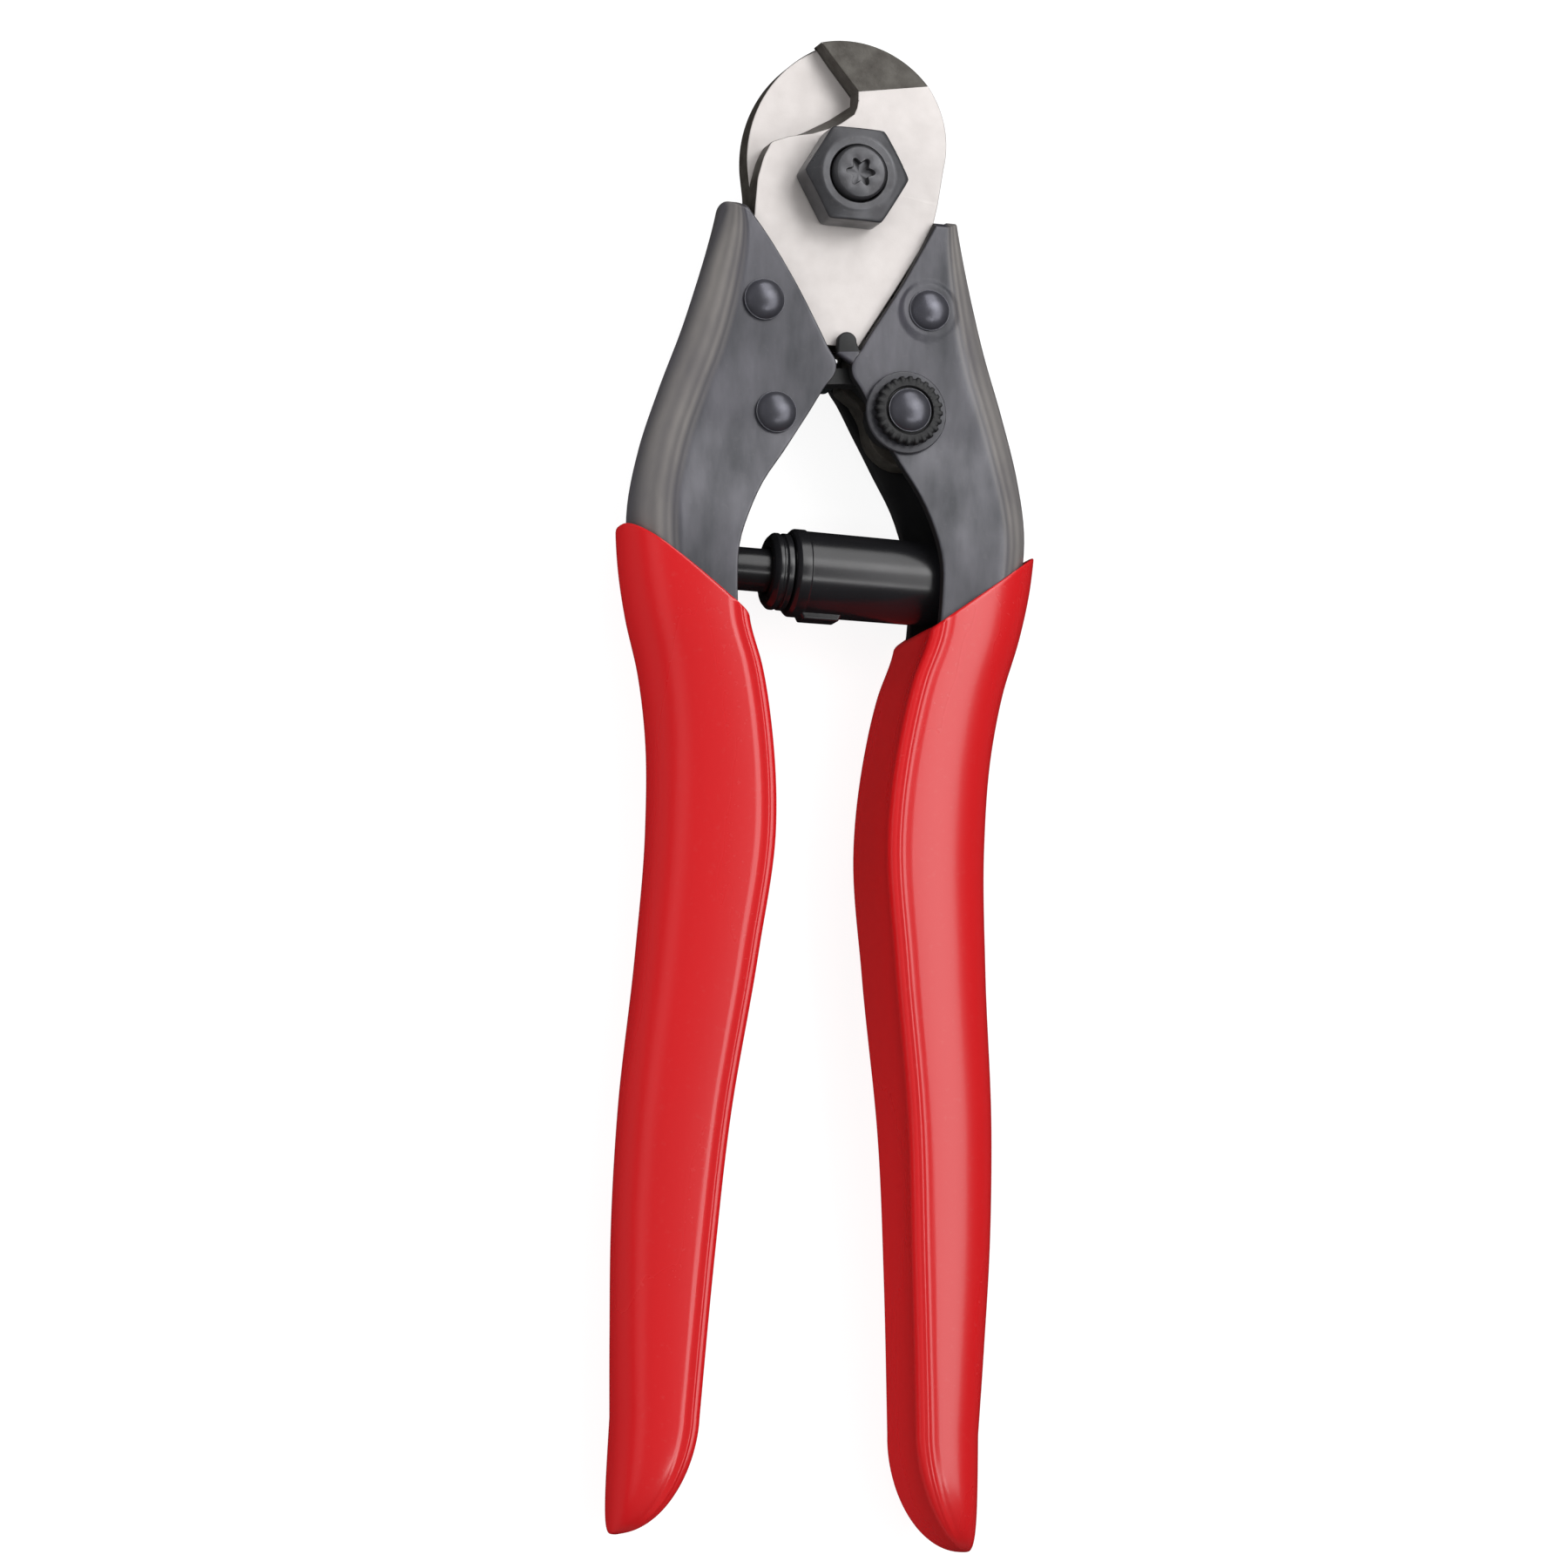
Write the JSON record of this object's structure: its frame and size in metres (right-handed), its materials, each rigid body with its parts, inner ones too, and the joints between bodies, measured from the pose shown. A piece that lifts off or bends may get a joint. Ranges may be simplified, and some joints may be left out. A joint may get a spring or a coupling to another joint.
{
  "type": "wire rope cutter",
  "caption": "One-hand wire rope cutter: two hooked shear blades in pressed channel handles with vinyl grips, a spring strut and a turn-button latch.",
  "frame": {"origin": "centre of the flat back face of the pivot bolt's head, on the pivot axis; the tool lies on its back, so this face is level with the surface that it rests on", "axes": "+Z along the pivot axis from the bolt head to the nut, +Y from the grips towards the cutting head, +X from the left handle to the right handle"},
  "size_m": [0.0542, 0.1911, 0.0191],
  "materials": {
    "ground_steel": "satin ground tool steel",
    "black_oxide": "black oxide, semi-gloss",
    "painted_steel": "dark slate enamel, semi-gloss",
    "rivet_steel": "dark slate enamel over steel",
    "bright_steel": "plain steel, semi-gloss",
    "red_vinyl": "glossy dipped vinyl",
    "black_plastic": "glossy moulded nylon",
    "spring_steel": "drawn spring wire",
    "black_rubber": "matte rubber"
  },
  "bodies": {
    "left_half": {"front_blade": "ground_steel", "pivot_bolt": "black_oxide", "pivot_nut": "black_oxide", "left_handle": "painted_steel", "left_grip": "red_vinyl", "left_upper_rivet": "rivet_steel", "left_lower_rivet": "rivet_steel", "left_spacer": "bright_steel", "closing_bumper": "black_rubber", "plunger_pin": "bright_steel"},
    "right_half": {"rear_blade": "ground_steel", "right_handle": "painted_steel", "right_grip": "red_vinyl", "right_upper_rivet": "rivet_steel", "right_spacer": "bright_steel", "latch_washer": "bright_steel", "latch_rivet": "rivet_steel", "sleeve_pin": "bright_steel"},
    "latch": {"latch_hook": "black_oxide", "latch_dial": "black_oxide"},
    "sleeve": {"spring_sleeve": "black_plastic", "sleeve_cap": "black_plastic", "compression_spring": "spring_steel"},
    "plunger": {"plunger": "black_plastic"}
  },
  "joints": [
    {"name": "handle_pivot", "type": "hinge", "parent": "left_half", "child": "right_half", "pos_m": [0, 0, 0.0088], "axis": [0, 0, 1], "range_deg": [0, 22]},
    {"name": "latch_turn", "type": "hinge", "parent": "right_half", "child": "latch", "pos_m": [0.0082, -0.0296, 0.0088], "axis": [0, 0, -1], "range_deg": [0, 7]},
    {"name": "sleeve_swivel", "type": "hinge", "parent": "right_half", "child": "sleeve", "pos_m": [0.0198, -0.0538, 0.0088], "axis": [0, 0, 1], "range_deg": [-11.2, 0]},
    {"name": "plunger_slide", "type": "slide", "parent": "sleeve", "child": "plunger", "axis": [-1, 0, 0], "range_m": [0, 0.0199], "deforming": ["compression_spring"]}
  ],
  "couplings": [
    {"joint": "sleeve_swivel", "follows": "handle_pivot", "ratio": -0.5},
    {"joint": "plunger_slide", "follows": "handle_pivot", "m_per_rad": 0.05157}
  ]
}
